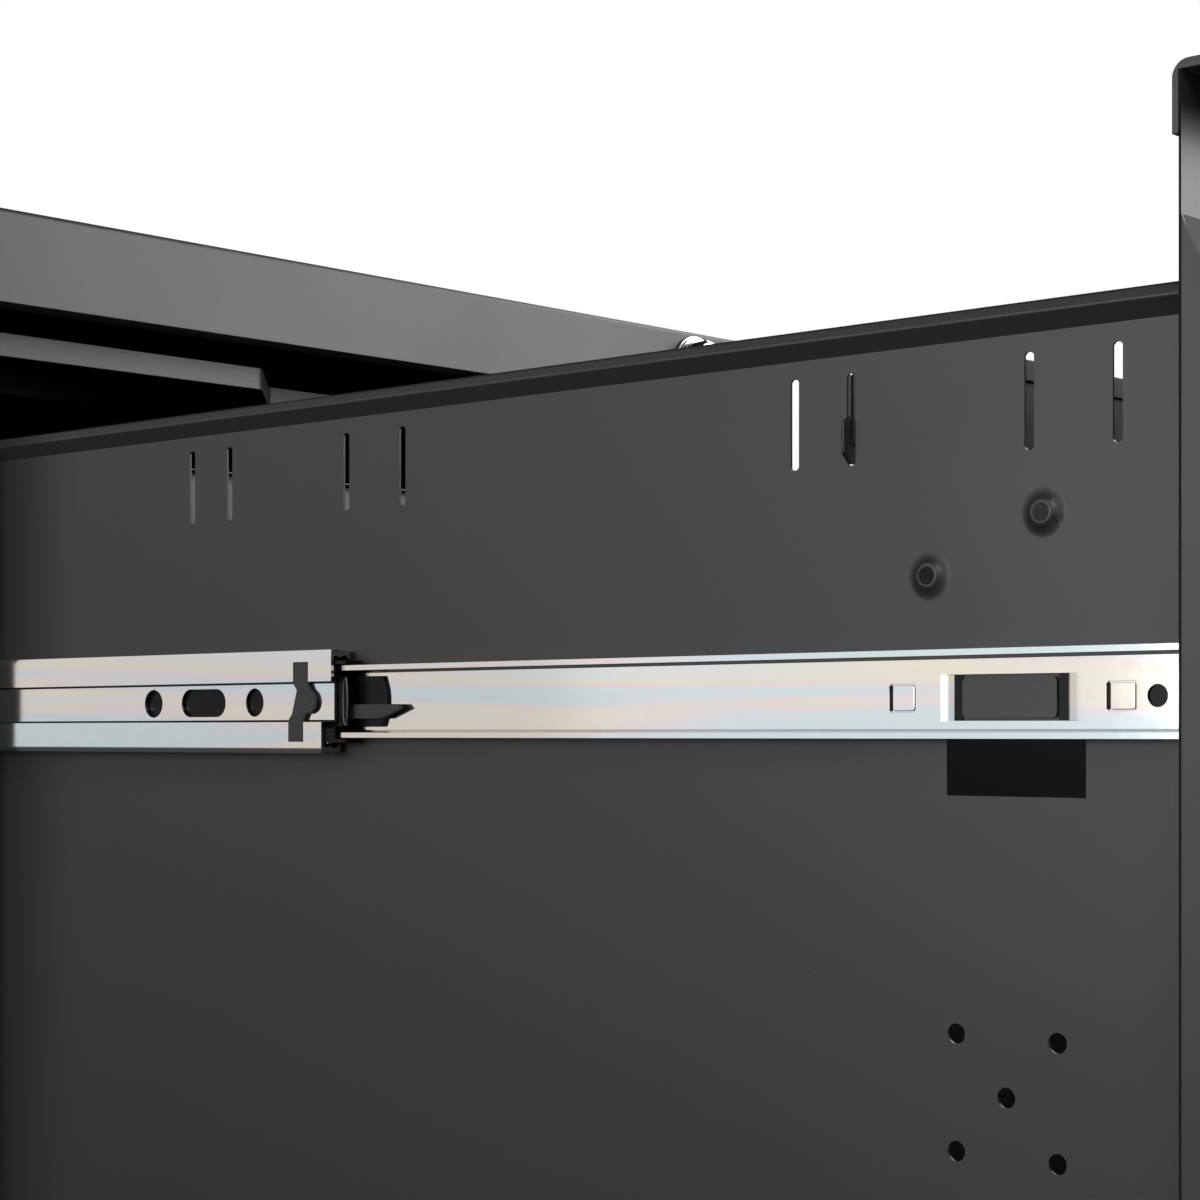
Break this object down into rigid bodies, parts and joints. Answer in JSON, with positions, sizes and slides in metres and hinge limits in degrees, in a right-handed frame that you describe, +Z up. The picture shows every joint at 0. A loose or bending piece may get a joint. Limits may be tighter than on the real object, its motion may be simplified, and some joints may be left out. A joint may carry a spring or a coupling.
{
  "type": "filing cabinet",
  "caption": "Floor-standing steel filing cabinet with deep file drawers on ball-bearing slides, the upper one pulled out; finger pulls along the drawer tops and a push lock in the top rail.",
  "frame": {"origin": "on the floor, at the middle of the bounding box of the cabinet with its upper drawer out", "axes": "+Z up, -Y the way the drawers open, +X the cabinet's right side seen from the front"},
  "size_m": [0.508, 1.1672, 0.822],
  "materials": {
    "black_powder_coat": "fine-textured satin",
    "zinc_plate": "bright zinc plating with a pastel sheen",
    "ball_steel": "polished",
    "black_plastic": "moulded",
    "lock_chrome": "polished",
    "brass": "plain",
    "foot_plastic": "moulded"
  },
  "bodies": {
    "case": {"case_side_left": "black_powder_coat", "case_side_right": "black_powder_coat", "case_top": "black_powder_coat", "case_back": "black_powder_coat", "case_base": "black_powder_coat", "slide_posts_left": "black_powder_coat", "slide_posts_right": "black_powder_coat", "front_tie": "black_powder_coat", "levelling_feet": "foot_plastic", "lock_sleeve": "lock_chrome", "lock_guides": "black_plastic", "upper_outer_slide_left": "zinc_plate", "upper_outer_slide_right": "zinc_plate", "lower_outer_slide_left": "zinc_plate", "lower_outer_slide_right": "zinc_plate"},
    "upper_drawer": {"upper_drawer_side_left": "black_powder_coat", "upper_drawer_side_right": "black_powder_coat", "upper_drawer_bottom": "black_powder_coat", "upper_drawer_back": "black_powder_coat", "upper_drawer_front": "black_powder_coat", "upper_front_backing": "black_powder_coat", "upper_drawer_pull": "black_powder_coat", "upper_file_bar": "black_powder_coat", "upper_lock_keeper": "black_powder_coat", "upper_inner_slide_left": "zinc_plate", "upper_inner_slide_right": "zinc_plate", "upper_lever_mounts": "black_plastic"},
    "upper_middles": {"upper_middle_slide_left": "zinc_plate", "upper_middle_slide_right": "zinc_plate", "upper_slide_stops": "black_plastic"},
    "upper_outer_retainers": {"upper_outer_cages": "black_plastic", "upper_outer_balls": "ball_steel"},
    "upper_inner_retainers": {"upper_inner_cages": "black_plastic", "upper_inner_balls": "ball_steel"},
    "upper_lever_left": {"upper_release_lever_left": "black_plastic"},
    "upper_lever_right": {"upper_release_lever_right": "black_plastic"},
    "lower_drawer": {"lower_drawer_side_left": "black_powder_coat", "lower_drawer_side_right": "black_powder_coat", "lower_drawer_bottom": "black_powder_coat", "lower_drawer_back": "black_powder_coat", "lower_drawer_front": "black_powder_coat", "lower_front_backing": "black_powder_coat", "lower_drawer_pull": "black_powder_coat", "lower_file_bar": "black_powder_coat", "lower_lock_keeper": "black_powder_coat", "lower_inner_slide_left": "zinc_plate", "lower_inner_slide_right": "zinc_plate", "lower_lever_mounts": "black_plastic"},
    "lower_middles": {"lower_middle_slide_left": "zinc_plate", "lower_middle_slide_right": "zinc_plate", "lower_slide_stops": "black_plastic"},
    "lower_outer_retainers": {"lower_outer_cages": "black_plastic", "lower_outer_balls": "ball_steel"},
    "lower_inner_retainers": {"lower_inner_cages": "black_plastic", "lower_inner_balls": "ball_steel"},
    "lower_lever_left": {"lower_release_lever_left": "black_plastic"},
    "lower_lever_right": {"lower_release_lever_right": "black_plastic"},
    "plunger": {"lock_plunger": "lock_chrome"},
    "key_plug": {"lock_plug": "brass"},
    "lock_bar": {"lock_bar": "zinc_plate"}
  },
  "joints": [
    {"name": "upper_drawer_slide", "type": "slide", "parent": "case", "child": "upper_drawer", "axis": [0, -1, 0], "range_m": [-0.5572, 0]},
    {"name": "upper_middles_slide", "type": "slide", "parent": "case", "child": "upper_middles", "axis": [0, -1, 0], "range_m": [-0.2786, 0]},
    {"name": "upper_outer_retainers_slide", "type": "slide", "parent": "case", "child": "upper_outer_retainers", "axis": [0, -1, 0], "range_m": [-0.1393, 0]},
    {"name": "upper_inner_retainers_slide", "type": "slide", "parent": "case", "child": "upper_inner_retainers", "axis": [0, -1, 0], "range_m": [-0.4179, 0]},
    {"name": "upper_lever_left_hinge", "type": "hinge", "parent": "upper_drawer", "child": "upper_lever_left", "pos_m": [-0.2277, -0.2326, 0.6203], "axis": [1, 0, 0], "range_deg": [0, 6], "stiffness_Nm_per_rad": 0.05, "springref_deg": -8.59},
    {"name": "upper_lever_right_hinge", "type": "hinge", "parent": "upper_drawer", "child": "upper_lever_right", "pos_m": [0.2277, -0.2326, 0.6233], "axis": [-1, 0, 0], "range_deg": [0, 6], "stiffness_Nm_per_rad": 0.05, "springref_deg": -8.59},
    {"name": "lower_drawer_slide", "type": "slide", "parent": "case", "child": "lower_drawer", "axis": [0, -1, 0], "range_m": [0, 0.5572]},
    {"name": "lower_middles_slide", "type": "slide", "parent": "case", "child": "lower_middles", "axis": [0, -1, 0], "range_m": [0, 0.2786]},
    {"name": "lower_outer_retainers_slide", "type": "slide", "parent": "case", "child": "lower_outer_retainers", "axis": [0, -1, 0], "range_m": [0, 0.1393]},
    {"name": "lower_inner_retainers_slide", "type": "slide", "parent": "case", "child": "lower_inner_retainers", "axis": [0, -1, 0], "range_m": [0, 0.4179]},
    {"name": "lower_lever_left_hinge", "type": "hinge", "parent": "lower_drawer", "child": "lower_lever_left", "pos_m": [-0.2277, 0.3246, 0.2523], "axis": [1, 0, 0], "range_deg": [0, 6], "stiffness_Nm_per_rad": 0.05, "springref_deg": -8.59},
    {"name": "lower_lever_right_hinge", "type": "hinge", "parent": "lower_drawer", "child": "lower_lever_right", "pos_m": [0.2277, 0.3246, 0.2553], "axis": [-1, 0, 0], "range_deg": [0, 6], "stiffness_Nm_per_rad": 0.05, "springref_deg": -8.59},
    {"name": "plunger_slide", "type": "slide", "parent": "case", "child": "plunger", "axis": [0, 1, 0], "range_m": [0, 0.009]},
    {"name": "key_plug_hinge", "type": "hinge", "parent": "plunger", "child": "key_plug", "pos_m": [0.2085, -0.0304, 0.803], "axis": [0, 1, 0], "range_deg": [0, 90]},
    {"name": "lock_bar_slide", "type": "slide", "parent": "case", "child": "lock_bar", "axis": [0, 0, -1], "range_m": [0, 0.009]}
  ],
  "couplings": [
    {"joint": "upper_middles_slide", "follows": "upper_drawer_slide", "ratio": 0.5},
    {"joint": "upper_outer_retainers_slide", "follows": "upper_drawer_slide", "ratio": 0.25},
    {"joint": "upper_inner_retainers_slide", "follows": "upper_drawer_slide", "ratio": 0.75},
    {"joint": "lower_middles_slide", "follows": "lower_drawer_slide", "ratio": 0.5},
    {"joint": "lower_outer_retainers_slide", "follows": "lower_drawer_slide", "ratio": 0.25},
    {"joint": "lower_inner_retainers_slide", "follows": "lower_drawer_slide", "ratio": 0.75},
    {"joint": "lock_bar_slide", "follows": "plunger_slide", "ratio": 1}
  ]
}
